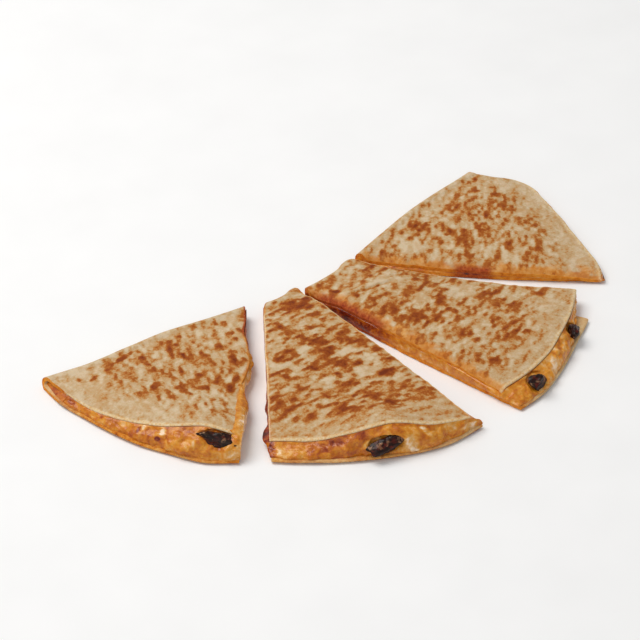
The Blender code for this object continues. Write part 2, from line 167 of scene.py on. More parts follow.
WEDGES = (
    Wedge(
        name="wedge_1",
        turn=-8.0,
        flap=Layer(
            Tip(-128.5, 180 + TIP_RIM), Cut(-24.5, 237.7),
            (126.4, 125.4, 122.4, 119.9, 116.0, 115.0)
        ),
        base=Layer(
            Tip(-130.5, 180 + TIP_RIM), Cut(-25.5, 237.3),
            (130.6, 128.8, 128.3, 128.2, 127.3, 127.6, 124.4)
        ),
        fold_out=(3.8, 1.1, 1.4, 2.0, 0.2, -1.0),
        fold_heights=(5.6, 6.8, 7.6, 7.8, 7.6, 7.4),
        body_heights=(8.8, 9.2, 9.2, 9.2),
        rim_heights=(5.4, 5.6, 6.8, 10.0, 13.0, 12.0),
        body_from=6.0,
        body_to=26.0,
        inset=(1.2, 1.0, 1.2, 0.8, 1.2, 1.0),
        chunks=(
            Chunk("steak", (-88.0, -79.9, 8.0), (10.0, 3.5, 3.0), -45.0, 2.0, 0.0, 1.0),
        ),
        ooze=((0.0, 0.0), (0.2, 0.4, 1.2, 4.0, 1.2, 1.9, 0.8, 0.2)),
        trim=((0.0, 0.0), (0.2, 0.4, 1.0, -1.4, -2.2, 1.4, 2.8, 2.6, 2.6)),
        drop=(0.0, 0.3),
        tint=(0.0, 0.8),
        pale=(0.0, 0.0),
        sear=1.2,
        # The right cut's tones hold painted highlights and painted shade along it, besides the
        # filling's colour.
        cut_tones_and_painted_light=((0.0, 0.0), (-0.7, -0.9, 0.2, 0.9, 0.3, 1.0, 0.8)),
        front_tones=(-0.1, 0.15, 0.3, 0.1, 0.15, 0.2, 0.1, 0.25),
        stains=(0.5, 0.9, 1.0, 1.0, 0.9, 0.9, 1.0),
        melt_and_highlights=(
            (0.05, 0.3, 0.04, 0.5, -0.45), (0.2, 0.9, 0.1, 0.3, 0.15),
            (0.27, 0.3, 0.03, 0.4, -0.25), (0.38, 0.3, 0.035, 0.3, 0.45),
            (0.475, 0.45, 0.012, 0.3, -0.9), (0.495, 0.25, 0.014, 0.2, 0.8),
            # The next two places, near white, are painted highlights on the cheese.
            (0.6, 0.28, 0.02, 0.12, 0.95), (0.605, 0.5, 0.018, 0.14, 1),
            (0.585, 0.8, 0.016, 0.14, -1), (0.75, 0.78, 0.035, 0.16, 0.55),
            (0.7, 0.35, 0.05, 0.3, -0.2), (0.9, 0.95, 0.1, 0.2, 0.2),
        ),
        toast=-0.42,
        bare=20.0,
        grain=70.0,
        marks=(
            (-117.5, -8, 4.6, 1.6, -72, 0.6), (-123.5, -5, 2.6, 1.2, -40, 0.35),
            (-112, -12, 3.4, 1.5, 0, 0.6), (-105.5, -12.5, 3.8, 1.8, -70, 0.65),
            (-94.5, -7, 7, 1.6, 12, 0.8), (-94, -19, 1.7, 2, 0, 0.5),
            (-87.6, -15, 5.8, 1.4, 84, 0.7), (-86, -24, 4.8, 2, -8, 0.6),
            (-97, -24, 4, 1.4, 65, 0.4), (-94, -27.5, 1.8, 1.4, 0, 0.45),
            (-92, -34, 4.6, 2.3, 0, 0.7), (-105.5, -34.5, 1.4, 1.6, 0, 0.3),
            (-89.8, -45, 6.4, 1.8, -82, 0.65), (-84, -43.5, 4.6, 1.6, -65, 0.55),
            (-79.6, -49, 1.8, 1.8, 0, 0.65), (-77.5, -54.5, 1.3, 1.5, 0, 0.45),
            (-78.2, -31, 4.6, 2.2, 65, 0.55), (-69, -16, 7.5, 10, 0, 0.48),
            (-69, -5.5, 6, 2.6, 0, 0.4), (-66.5, -28.5, 5.5, 5.5, 0, 0.48),
            (-60, -9, 3, 1.6, 50, 0.35), (-54, -25, 3.4, 3.2, 0, 0.6),
            (-41.5, -21, 6, 3.4, 35, 0.62), (-71, -44, 7, 9, 0, 0.42),
            (-52, -37, 10, 3.2, 42, 0.58), (-62, -42.5, 6, 3, 30, 0.4), (-62, -52, 6, 3.2, 48, 0.6),
            (-73, -66, 6, 3, 40, 0.22), (-110, -22, 12, 6, 0, 0.1),
        ),
    ),
    Wedge(
        name="wedge_2",
        turn=-7.1,
        flap=Layer(
            Cut(-28.4, 239.1), Cut(-10.0, 274.8), (117.4, 118.2, 119.2, 119.6, 123.0, 124.4)
        ),
        base=Layer(
            Cut(-28.4, 239.3), Cut(-10.0, 277.2), (126.6, 126.2, 126.6, 127.8, 128.5, 126.2)
        ),
        fold_out=(-1.1, -1.6, -1.0, 1.0),
        fold_heights=(7.4, 7.8, 8.0, 8.0),
        body_heights=(9.8, 9.8, 9.8, 9.8),
        rim_heights=(6.2, 7.4, 11.6, 14.6, 11.0, 8.6),
        body_from=6.0,
        body_to=24.0,
        inset=(1.4, 1.0, 1.6, 1.0, 1.4, 0.8),
        chunks=(
            Chunk("steak", (-39.9, -117.8, 6.7), (8.6, 3.1, 3.1), -7.0, -10.0, 0.0, 2.0),
        ),
        ooze=((0.2, 0.3, 0.3, 0.3, 0.4, 1.5, 2.9, 0.7), (0.2, 0.4, 0.4, 0.5, 0.5, 0.6, 0.6)),
        trim=((0.0, 0.0), (0.0, 0.0)),
        drop=(0.4, 0.4),
        tint=(0.8, 1.3),
        pale=(0.7, 0.9),
        sear=0.8,
        cut_tones_and_painted_light=((-0.4, -0.2, -0.3, -0.1, -0.5, -0.85, -0.4), (0.2, 0.2)),
        front_tones=(0.45, 0.2, -0.15, -0.1, 0.1, 0.45, 0.25, 0.3, 0.5),
        stains=(0.9, 0.6, 0.5, 0.8, 0.7, 0.5, 0.2, 0.1),
        melt_and_highlights=(
            (0.06, 0.75, 0.05, 0.3, 0.5), (0.15, 0.85, 0.02, 0.2, 0.4),
            (0.24, 0.95, 0.03, 0.15, 0.7), (0.31, 0.35, 0.04, 0.3, -0.3),
            (0.36, 0.75, 0.04, 0.2, 0.4), (0.43, 0.3, 0.03, 0.3, -0.4),
            (0.46, 0.85, 0.05, 0.2, 0.6), (0.62, 0.95, 0.05, 0.2, 0.45),
            (0.73, 0.3, 0.02, 0.14, 0.9), (0.74, 0.65, 0.035, 0.22, 0.5),
            (0.66, 0.12, 0.07, 0.12, -0.45), (0.93, 0.9, 0.05, 0.15, 0.6),
        ),
        toast=-0.10,
        bare=22.0,
        grain=2.0,
        marks=(
            (-18, -14, 7.8, 6.6, 0, 0.6), (-31.5, -14, 2.8, 1.2, 80, 0.6),
            (-31, -19, 3.6, 7.5, 0, -0.6), (-21, -29, 3.4, 4.6, 0, -0.6),
            (-43, -31.5, 4.6, 3.2, 30, -0.5), (-38, -25.5, 3.6, 2.4, 20, 0.5),
            (-32, -33, 5, 4, 0, 0.45), (-45, -45, 6.5, 3.2, 10, 0.45),
            (-35, -45, 3.6, 1.9, 15, -0.8), (-27, -46, 4.5, 8.5, 0, 0.45), (-14, -50, 5, 7, 0, 0.4),
            (-52.5, -49.5, 1.9, 6, 0, -0.5), (-40, -59, 4.8, 1.9, 0, 0.55),
            (-36, -62.5, 8, 1.6, -5, -0.4), (-42, -70.5, 9, 1.6, 5, -0.5),
            (-18, -56.5, 7, 2.4, 10, -0.75), (-12.5, -66, 2.6, 7, 0, -0.65),
            (-19, -74, 7, 3.6, -10, -0.8), (-20, -60, 3, 1.3, 10, 0.55),
            (-27.5, -66, 3, 7.5, 0, 0.45), (-20.5, -66.5, 3.4, 2.6, 0, 0.55),
            (-8, -69, 2.5, 5, 0, 0.4), (-56, -73, 14, 6, 0, 0.22), (-68, -73, 3, 4, 0, 0.35),
            (-46, -79, 6, 2.4, 0, 0.38), (-30, -78, 8, 2.2, 0, 0.35), (-13, -79.5, 5, 1.4, 12, 0.7),
            (-7.5, -83, 3, 1.3, 20, 0.6), (-21.5, -83.5, 3.6, 1.7, -30, 0.6),
            (-33, -82.5, 8, 1.5, 5, -0.4), (-48, -91, 7, 3, 5, 0.55), (-30, -89, 3.8, 2.4, 0, 0.55),
            (-14, -90.5, 6, 1.8, -8, 0.5), (-24, -98, 26, 7, -6, 0.18),
        ),
    ),
    Wedge(
        name="wedge_3",
        turn=3.7,
        flap=Layer(
            Cut(-10.5, 274.6), Cut(21.5, 302.6, -4.0), (116.0, 118.4, 119.2, 119.2, 119.8, 120.6)
        ),
        base=Layer(
            Cut(-10.5, 275.2, -1.2), Cut(21.5, 295.8, 1.0),
            (127.0, 127.9, 126.7, 125.7, 125.7, 127.4)
        ),
        fold_out=(1.0, 0.4, 0.8, 3.4),
        fold_heights=(8.0, 8.2, 8.0, 7.6),
        body_heights=(10.4, 10.8, 10.2, 7.4),
        rim_heights=(8.0, 8.8, 9.2, 10.4, 9.2, 8.2),
        body_from=15.0,
        body_to=25.0,
        inset=(0.8, 1.0, 1.2, 1.4, 2.4, 6.5),
        chunks=(
            Chunk("steak_left", (16.6, -122.9, 6.0), (5.6, 3.1, 3.6), 12.0, 4.0, 0.25, 3.0),
            Chunk("steak_right", (55.8, -109.6, 6.0), (4.4, 2.5, 3.5), 32.0, 0.0, 0.45, 4.0),
        ),
        ooze=((0.1, 0.2, 0.2, 0.2, 0.2, 0.3, 0.6), (0.2, 0.4, 0.5, 0.5, 0.5, 0.5, 0.4)),
        trim=((0.0, 0.0, 0.0, 0.0, 0.3, 0.9), (0.0, 0.0)),
        drop=(2.4, 0.3),
        tint=(4.2, 0.7),
        pale=(0.0, 0.8),
        sear=4.0,
        cut_tones_and_painted_light=((-0.2, -0.75, -0.75, 0.5, 0.5, 0.4, 0.6), (0.2, 0.4)),
        front_tones=(0.35, 0.4, 0.65, 0.6, 0.55, 0.35, 0.35, 0.6),
        stains=(0.6, 0.1, 0.0, 0.0, 0.0, 0.1, 0.1),
        melt_and_highlights=(
            (0.06, 0.3, 0.06, 0.5, 0.1), (0.03, 0.75, 0.03, 0.3, -0.15),
            (0.4, 0.6, 0.03, 0.4, 0.35), (0.52, 0.3, 0.04, 0.3, -0.4),
            (0.6, 0.75, 0.03, 0.3, -0.45), (0.66, 0.35, 0.02, 0.2, 0.6),
            (0.84, 0.5, 0.03, 0.4, 0.5),
        ),
        toast=-0.25,
        bare=18.0,
        grain=22.0,
        marks=(
            (-3.5, -14, 2, 3, 0, 0.85), (21, -15, 10.5, 4.5, 22, 0.5), (29, -17, 4, 4, 0, 0.25),
            (12, -12, 4, 2, 30, 0.3), (-1, -20, 9, 3, 0, -0.35), (18, -23.5, 12, 3, 5, -0.55),
            (4, -39, 10, 9, 0, 0.5), (5, -57, 9, 8, 0, 0.48), (-3, -50, 1.3, 5.5, -12, -0.9),
            (-4.5, -45, 2.6, 1.1, -20, -0.8), (30, -38, 12, 6.5, -5, 0.32),
            (44, -45, 5.2, 1.5, 8, 0.65), (39, -55, 9.5, 6, 5, -0.7), (25.5, -54, 4, 3, 20, 0.5),
            (23.5, -64, 2.4, 3, 0, 0.6), (14, -65, 3.6, 2.2, 20, 0.55), (48, -65, 4, 3, 0, 0.35),
            (41, -73, 7, 2.4, 25, 0.5), (44, -81, 6, 2.8, 20, 0.5), (31, -92, 10, 4.6, 10, 0.5),
            (35, -98, 2, 1.4, 0, 0.75), (15, -85, 3, 2.6, 60, 0.4), (28, -78, 7, 3, 10, 0.28),
            (7, -101, 3, 1.6, 0, 0.35), (57, -90, 13, 7, 25, -0.35),
        ),
        # These creases also paint shade into the toast along them.
        creases=((-5.0, -21.8, 23.0, -28.3, 0.8), (12.0, -23.0, 30.0, -24.5, 0.35)),
    ),
    Wedge(
        name="wedge_4",
        turn=11.5,
        flap=Layer(
            Cut(25.0, 300.9, -3.5),
            Tip(116.5, 360 - TIP_RIM),
            (130.8, 130.2, 128.3, 126.9, 126.2, 126.6, 127.0, 128.0, 129.2, 127.0, 121.8),
        ),
        base=Layer(
            Cut(23.5, 302.3, -4.0),
            Tip(120.0, 360 - TIP_RIM),
            (132.3, 131.7, 129.9, 128.3, 127.7, 128.0, 128.4, 129.0, 130.0, 130.8, 129.7, 124.5),
        ),
        fold_out=(2.9, 3.6, 4.2, 3.0, 1.5),
        fold_heights=(7.0, 7.6, 7.4, 6.0),
        body_heights=(6.8, 8.0, 8.0, 7.0),
        rim_heights=(4.9, 5.6, 5.8, 6.0, 6.4, 6.2),
        body_from=6.0,
        body_to=26.0,
        inset=(0.8, 0.8, 0.8, 0.8, 0.8, 1.0),
        chunks=(),
        ooze=((0.1, 0.2, 0.2, 0.2, 0.2, 0.2, 0.2), (0.0, 0.0)),
        trim=((0.0, 0.0), (0.0, 0.0)),
        drop=(2.4, 0.0),
        tint=(3.6, 0.0),
        pale=(0.0, 0.0),
        sear=2.4,
        cut_tones_and_painted_light=((0.3, 0.1, 0.3, -0.8, 0.4, 0.8, 0.6), (0.5, 0.5)),
        front_tones=(0.75, 0.9, 0.6, 0.5, 0.4, 0.4),
        stains=(0.1, 0.0, 0.1, 0.3, 0.3),
        melt_and_highlights=(),
        toast=-0.38,
        bare=12.0,
        grain=35.0,
        marks=(
            (33, -8.5, 4.2, 2.2, 35, 0.6), (45, -5, 4.6, 1.7, 5, 0.4), (57, -6, 7, 2.8, 0, 0.55),
            (62, -11, 5, 4.2, 0, 0.65), (71, -12, 3.6, 2, -10, 0.5), (84, -13.5, 3.6, 3, 0, 0.45),
            (94, -8.5, 2.6, 1.7, 30, 0.5), (89, -16, 3, 2.2, 0, 0.4), (95, -17, 1.8, 2.6, 0, 0.4),
            (110, -6, 9.5, 2.4, 8, 0.48), (66, -22.5, 3.8, 2.4, 10, 0.6),
            (71, -27, 2, 3.4, -30, 0.5), (52.5, -30.5, 2.8, 2.2, 30, 0.6),
            (51, -34, 4, 1.4, 0, 0.45), (64, -33, 6, 4.4, 20, 0.58), (56, -43, 4, 2.6, 20, 0.6),
            (70, -41, 3.6, 2, 0, 0.5), (79, -34, 3.6, 4, 0, 0.42), (88, -31, 3, 3.2, 0, 0.48),
            (82, -47.5, 2.4, 1.7, 40, 0.6), (75, -53, 5, 2.8, 20, 0.45), (73, -65, 4, 6, 10, 0.58),
            (44, -15, 8, 6, 0, -0.45), (64.5, -46, 4, 3, 0, -0.35), (106, -31, 12, 9, 0, 0.16),
            (88, -22, 12, 9, 0, 0.14),
        ),
    ),
)


# ---------------------------------------------------------------- noise

def lattice(ix, iy, iz, seed):
    """A repeatable value between -1 and 1 for each point of a whole-number lattice."""
    mixed = (
        ix.astype(np.uint32) * np.uint32(374761393)
        + iy.astype(np.uint32) * np.uint32(668265263)
        + iz.astype(np.uint32) * np.uint32(2246822519)
        + np.uint32(seed * 3266489917 % 2**32)
    )
    mixed = (mixed ^ (mixed >> np.uint32(13))) * np.uint32(1274126177)
    mixed = (mixed ^ (mixed >> np.uint32(16))) * np.uint32(2654435761)
    mixed = mixed ^ (mixed >> np.uint32(15))
    return mixed.astype(np.float64) / 2147483647.5 - 1.0


def noise(points, seed):
    """Smooth noise of about -1 to 1 at points of any shape, with a lattice pitch of 1."""
    cell = np.floor(points)
    part = points - cell
    ease = part**3 * (part * (part * 6 - 15) + 10)
    ix, iy, iz = (cell[..., i].astype(np.int64) for i in range(3))
    total = 0.0
    for dx in (0, 1):
        for dy in (0, 1):
            for dz in (0, 1):
                share = (
                    (ease[..., 0] if dx else 1 - ease[..., 0])
                    * (ease[..., 1] if dy else 1 - ease[..., 1])
                    * (ease[..., 2] if dz else 1 - ease[..., 2])
                )
                total = total + share * lattice(ix + dx, iy + dy, iz + dz, seed)
    return total


def layered_noise(points, pitch, octaves, seed):
    """Noise of this pitch with finer, weaker noise on it."""
    total = 0.0
    weight = 1.0
    full = 0.0
    for octave in range(octaves):
        total = total + weight * noise(points / pitch * 2.03**octave, seed + octave)
        full += weight
        weight *= 0.5
    return total / full


def smooth_step(low, high, value):
    share = np.clip((value - low) / (high - low), 0.0, 1.0)
    return share * share * (3 - 2 * share)


# ---------------------------------------------------------------- the wedge's form, as in the CAD

def blend(low, high, share):
    return low + (high - low) * share


def smooth_value(values, share):
    """The value at shares of the way along a smooth curve through evenly spaced values."""
    values = np.asarray(values, float)
    share = np.asarray(share, float)
    place = share * (len(values) - 1)
    i = np.clip(place.astype(int), 0, len(values) - 2)
    f = place - i
    before = values[np.maximum(i - 1, 0)]
    start, end = values[i], values[i + 1]
    after = values[np.minimum(i + 2, len(values) - 1)]
    slope_in = (end - before) / 2
    slope_out = (after - start) / 2
    bend_in = (2 * f**3 - 3 * f**2 + 1) * start + (f**3 - 2 * f**2 + f) * slope_in
    bend_out = (3 * f**2 - 2 * f**3) * end + (f**3 - f**2) * slope_out
    return bend_in + bend_out


def rim_point(layer, share):
    left = layer.left.rim_angle(layer.rim[0])
    right = layer.right.rim_angle(layer.rim[-1])
    angle = np.radians(blend(left, right, share))
    radius = smooth_value(layer.rim, share)
    return np.stack((radius * np.cos(angle), radius * np.sin(angle)), axis=-1)


def full_depth(wedge, layer, share):
    return smooth_value(wedge.fold_out, share) - rim_point(layer, share)[..., 1]


def plan_point(wedge, layer, share, depth):
    start = blend(layer.left.start, layer.right.start, share)
    fold = np.stack((start, smooth_value(wedge.fold_out, share)), axis=-1)
    along = depth / full_depth(wedge, layer, share)
    bow = blend(layer.left.bow, layer.right.bow, share) * 4 * along * (1 - along)
    place = fold + (rim_point(layer, share) - fold) * along[..., None]
    place[..., 0] += bow
    return place


def flap_height(wedge, share, depth):
    bend = smooth_value(wedge.fold_heights, share)
    to_rim = rim_point(wedge.flap, share) - plan_point(wedge, wedge.flap, share, depth)
    to_rim = np.hypot(to_rim[..., 0], to_rim[..., 1])
    rim = smooth_value(wedge.rim_heights, share)
    middle = smooth_value(wedge.body_heights, share)
    body = blend(rim, middle, smooth_step(0.0, RIM_REACH, to_rim))
    strip = 1 - smooth_step(wedge.body_from, wedge.body_to, depth)
    groove = 0.5 * strip * smooth_step(4.0, wedge.body_from, depth)
    return blend(bend, body, smooth_step(bend / 2, wedge.body_to, depth)) - groove


# ---------------------------------------------------------------- fine surfaces

# Distances from a rim at which its rounded edge is sampled, and where that edge ends.
RIM_STOPS = (0.0, 0.04, 0.15, 0.35, 0.65, 1.0)
RIM_THIN = 0.22
RIM_TAPER = 5.0

# Shares added beside each cut, as millimetres from it on a wedge this wide.
CUT_STOPS = (0.0, 0.2, 0.5, 0.9)
USUAL_WIDTH = 75.0

TORTILLA_SHARES = 116
BASE_STEPS = 86
BEND_STEPS = 14
FLAP_STEPS = 150
CHEESE_SHARES = 170
CHEESE_STEPS = 70
NOSE_STEPS = 28
TORTILLA_CAP_ROWS = 4
CHEESE_CAP_ROWS = 9

# A distance in millimetres that counts as nowhere near, and the height at which the flap's noise is
# taken, so that it differs from the base's.
FAR = 99.0
FLAP_NOISE = 8.0

# How deep the filling reaches into the layers round it, and how far it swells up against the flap's
# rim, so that no dark line shows between them.
TUCK = 0.1
LIP_SWELL = 0.95

# The least distances that the filling's front keeps from the base's rim and from the flap's rim.
LEAST_INSET = 0.3
NARROWEST_NOSE = 0.6


def points3(x, y, z):
    return np.stack(np.broadcast_arrays(x, y, z), axis=-1).astype(float)


def raised(plan, z):
    """Points over places of the plan, at these heights."""
    return points3(plan[..., 0], plan[..., 1], z)


def turned(x, y, degrees):
    """How far places are along and across a direction of the plan, at this angle to X."""
    angle = math.radians(degrees)
    along = x * math.cos(angle) + y * math.sin(angle)
    across = y * math.cos(angle) - x * math.sin(angle)
    return along, across


def share_stops(count):
    """Shares from 0 to 1, with a few close to each end."""
    near = np.array(CUT_STOPS) / USUAL_WIDTH
    middle = np.linspace(near[-1], 1 - near[-1], count)[1:-1]
    return np.concatenate((near, middle, 1 - near[::-1]))


def side_distance(wedge, layer, share, depth):
    """Millimetres from the left and the right cut. A tip is nowhere near."""
    left = plan_point(wedge, layer, np.zeros_like(share), depth)[..., 0]
    right = plan_point(wedge, layer, np.ones_like(share), depth)[..., 0]
    width = np.abs(right - left)
    far = np.full_like(width, FAR)
    from_left = share * width if isinstance(layer.left, Cut) else far
    from_right = (1 - share) * width if isinstance(layer.right, Cut) else far
    return from_left, from_right


def undulation(depth, plan):
    """Slow ups and downs of the flap, none at the fold."""
    wave = layered_noise(raised(plan, 5.0), 19.0, 3, 11)
    return 0.55 * wave * smooth_step(4.0, 16.0, depth)


# How far from the fold a wedge's corners are round, seen from above, how far they move in, and how
# far from the cut the flap moves with them.
CORNER_ROUND = 6.0
CORNER_IN = 2.4
CORNER_SPREAD = 6.0

# How uneven the knife's line is, and how far from the cut the flap moves with it.
WIGGLE = 0.45
WIGGLE_SPREAD = 3.0


def cut_wiggle(seed, depth, distances):
    """How far a point near a cut moves along X: the knife's line isn't quite straight, and the
    corners at the fold are round.
    """
    shift = 0.0
    for side, distance, sign in ((0, distances[0], -1.0), (1, distances[1], 1.0)):
        line = layered_noise(points3(depth, 37.0 * side + 11.0 * seed, 0.5), 7.0, 3, 21)
        shift = shift + sign * WIGGLE * line * np.exp(-((distance / WIGGLE_SPREAD) ** 2))
        corner = CORNER_IN * np.clip(1 - depth / CORNER_ROUND, 0.0, 1.0) ** 2
        shift = shift - sign * corner * np.exp(-((distance / CORNER_SPREAD) ** 2))
    return shift


# How far from a cut the flap moves with its trimmed edge.
TRIM_SPREAD = 7.0


def along_cut(wedge, layer, share, depth):
    """Share of the way from the fold to the rim."""
    return np.clip(depth / full_depth(wedge, layer, share), 0.0, 1.0)


def flap_trim(wedge, share, depth, distances):
    """How far the flap's points beside a cut move along X to stay back from it."""
    along = along_cut(wedge, wedge.flap, share, depth)
    shift = 0.0
    for side, distance, sign in ((0, distances[0], 1.0), (1, distances[1], -1.0)):
        far = smooth_value(wedge.trim[side], along)
        shift = shift + sign * far * np.exp(-((distance / TRIM_SPREAD) ** 2))
    return shift


# How far from a cut the flap's pressed-down edge reaches.
EDGE_ROUND = 2.2


def edge_drop(wedge, depth, distances):
    """How far the flap and the filling under it are pressed down beside a cut."""
    left = wedge.drop[0] * np.exp(-((distances[0] / EDGE_ROUND) ** 1.4))
    right = wedge.drop[1] * np.exp(-((distances[1] / EDGE_ROUND) ** 1.4))
    return (left + right) * smooth_step(3.0, 9.0, depth)


def half_thickness(from_rim):
    """Half of the layer's thickness: a little thinner towards the rim and round at its edge."""
    thin = 1 - RIM_THIN * (1 - smooth_step(0.0, RIM_TAPER, from_rim))
    edge = np.clip(from_rim / RIM_STOPS[-1], 0.006, 1.0)
    return THICKNESS / 2 * thin * np.sqrt(np.clip(1 - (1 - edge) ** 2, 0.0, 1.0))


def rim_to_bend(full, bend, steps):
    """Depths from a rim to the bend, for a column of shares."""
    near = full - np.array(RIM_STOPS)[None, :]
    start = full - RIM_STOPS[-1]
    rest = start + (bend - start) * np.linspace(0, 1, steps + 1)[None, 1:]
    return np.concatenate((near, rest), axis=1)


# How strongly the marks stand out from the rest of the browning.
MARKS = 1.15


def marks_strength(wedge, x, y):
    """How much more toasted a place of the flap is because of the wedge's marks."""
    bend_x = 1.3 * layered_noise(points3(x, y, 1.5), 3.4, 2, 31)
    bend_y = 1.3 * layered_noise(points3(x, y, 7.5), 3.4, 2, 41)
    total = np.zeros_like(x)
    for mark_x, mark_y, half_length, half_width, turn, strength in wedge.marks:
        along, across = turned(x + bend_x - mark_x, y + bend_y - mark_y, turn)
        far = np.hypot(along / half_length, across / half_width)
        total += strength * (1 - smooth_step(0.65, 1.2, far))
    return MARKS * total


def crease_depth_and_shade(wedge, x, y):
    """How far the skin sinks into the wedge's creases; added to the toast, the same amount is
    painted shade.
    """
    total = np.zeros_like(x)
    wander = 0.9 * layered_noise(points3(x, y, 3.5), 6.0, 2, 33)
    for start_x, start_y, end_x, end_y, deep in wedge.creases:
        length = math.hypot(end_x - start_x, end_y - start_y)
        run_x, run_y = (end_x - start_x) / length, (end_y - start_y) / length
        along = ((x - start_x) * run_x + (y - start_y) * run_y) / length
        off = (y - start_y) * run_x - (x - start_x) * run_y + wander
        ends = smooth_step(-0.1, 0.25, along) * (1 - smooth_step(0.75, 1.1, along))
        across = np.exp(-((off / 0.8) ** 2)) - 0.6 * np.exp(-(((off - 2.4) / 1.8) ** 2))
        total += deep * ends * across
    return total


def grain_noise(wedge, place):
    """Flecks of a few millimetres that run in the wedge's grain."""
    along, across = turned(place[..., 0], place[..., 1], wedge.grain)
    stretched = points3(along / 2.0, across, place[..., 2])
    return 0.55 * noise(stretched / 2.8, 51) + 0.80 * noise(stretched / 1.6, 52)


# The radius at which the flap's pale margin ends, as the mean of its rim.
MARGIN_END = 122.0


def toast(wedge, place, depth, top):
    """How toasted the outer skin is: about 0 where it turns golden, and 0.6 where it is dark.

    top is 1 on the flap, 0 on the base and between them round the fold.
    """
    x, y = place[..., 0], place[..., 1]
    to_rim = MARGIN_END - np.hypot(x, y)
    margin = top * (1 - smooth_step(0.3 * wedge.bare, wedge.bare, to_rim))
    # The creases add painted shade to the toast: darker along each crease and lighter on the ridge
    # beside it.
    flap = wedge.toast + marks_strength(wedge, x, y) + crease_depth_and_shade(wedge, x, y) - 0.3 * margin
    patches = layered_noise(points3(x, y, 40.0), 30.0, 2, 61)
    base = 0.9 * patches - 0.6 * (1 - smooth_step(2.0, 12.0, to_rim + 4.0))
    fold = 0.35 * (1 - smooth_step(2.0, 8.0, depth))
    return grain_noise(wedge, place) * (1 - 0.5 * margin) + base + (flap - base) * top - fold


def base_skins(wedge, share, bend):
    """The base's outer and inner skin, with depths, toast and distances from the rim."""
    full = full_depth(wedge, wedge.base, share)
    depth = rim_to_bend(full, bend, BASE_STEPS)
    to_rim = full - depth
    plan = plan_point(wedge, wedge.base, np.broadcast_to(share, depth.shape), depth)
    lift = 0.3 * (1 + noise(raised(plan, 3.0) / 12.0, 71))
    middle = THICKNESS / 2 + lift * (1 - smooth_step(0.0, 7.0, to_rim))
    half = half_thickness(to_rim)
    toasted = toast(wedge, raised(plan, 0.0), depth, 0.0)
    contact = 0.22 * (1 - smooth_step(-0.2, 0.25, toasted)) * smooth_step(0.0, 1.5, to_rim)
    contact = contact * smooth_step(0.0, 3.0, depth - bend)
    outer = raised(plan, middle - half + contact)
    inner = raised(plan, middle + half)
    return outer, inner, depth, toasted, to_rim


def fold_skins(wedge, share, bend):
    """The fold's outer and inner skin, with depths, toast and distances from the rim, all far."""
    part = np.linspace(0, 1, BEND_STEPS + 1)[None, 1:-1]
    angle = np.radians(blend(-90, 90, part))
    skins = []
    for radius in (bend - THICKNESS, bend):
        depth = bend - radius * np.cos(angle)
        wide = np.broadcast_to(share, depth.shape)
        low = plan_point(wedge, wedge.base, wide, depth)
        high = plan_point(wedge, wedge.flap, wide, depth)
        plan = low + (high - low) * part[..., None]
        skins.append(raised(plan, bend + radius * np.sin(angle)))
    inner, outer = skins
    outer[..., 1] += 0.18 * layered_noise(outer, 9.0, 2, 81) * np.cos(angle)
    place = outer.copy()
    place[..., 2] = FLAP_NOISE * part
    return outer, inner, depth, toast(wedge, place, depth, part), np.full_like(depth, FAR)


def flap_skins(wedge, share, bend):
    """The flap's outer and inner skin, with depths, toast and distances from the rim."""
    full = full_depth(wedge, wedge.flap, share)
    depth = rim_to_bend(full, bend, FLAP_STEPS)[:, ::-1]
    wide = np.broadcast_to(share, depth.shape)
    to_rim = full - depth
    plan = plan_point(wedge, wedge.flap, wide, depth)
    top = flap_height(wedge, wide, depth) + undulation(depth, plan)
    distances = side_distance(wedge, wedge.flap, wide, depth)
    middle = top - THICKNESS / 2 - edge_drop(wedge, depth, distances)
    half = half_thickness(to_rim)
    place = raised(plan, FLAP_NOISE)
    toasted = toast(wedge, place, depth, 1.0)
    plan[..., 0] += flap_trim(wedge, wide, depth, distances)
    relief = flap_relief(place, toasted) * smooth_step(0.0, 2.0, to_rim)
    relief = relief * smooth_step(0.0, 3.0, depth - bend)
    nearest = np.minimum(distances[0], distances[1])
    relief = relief - 0.3 * np.exp(-nearest / 0.5) * smooth_step(0.0, 2.0, depth - bend)
    relief = relief - crease_depth_and_shade(wedge, plan[..., 0], plan[..., 1])
    outer = raised(plan, middle + half + relief)
    inner = raised(plan, middle - half)
    return outer, inner, depth, toasted, to_rim


def tortilla_surfaces(wedge, seed):
    """The folded sheet's outer and inner skins as grids of points, with their looks."""
    share = share_stops(TORTILLA_SHARES)[:, None]
    bend = smooth_value(wedge.fold_heights, share) / 2
    parts = [make(wedge, share, bend) for make in (base_skins, fold_skins, flap_skins)]
    outer, inner, depth, toasted, _ = (np.concatenate(grids, axis=1) for grids in zip(*parts))
    base, fold, flap = (part[-1] for part in parts)
    on_base = np.concatenate((base, fold, np.full_like(flap, FAR)), axis=1)
    on_flap = np.concatenate((np.full_like(base, FAR), fold, flap), axis=1)
    wide = np.broadcast_to(share, depth.shape)
    distances = side_distance(wedge, wedge.flap, wide, depth)
    shift = cut_wiggle(seed, depth, distances)
    outer[..., 0] += shift
    inner[..., 0] += shift
    gold = golden_edge(wedge, outer, depth, distances)
    lip = pale_edge(wedge, outer, on_flap, distances) * smooth_step(2.0, 6.0, depth - bend)
    sear = cut_sear(wedge, wide, depth, distances)
    stain = smooth_value(wedge.stains, wide)
    looks = {
        "toast": (toasted, toasted - 1.0),
        "skin": (np.ones_like(depth), np.zeros_like(depth)),
        "gold": (gold, gold),
        "lip": (lip, 0.3 * lip),
        "sear": (sear, sear),
        "stain": (
            stain * (1 - smooth_step(0.6, 2.2, on_base)),
            stain * (1 - smooth_step(6.0, 12.0, on_base)),
        ),
    }
    return outer, inner, looks


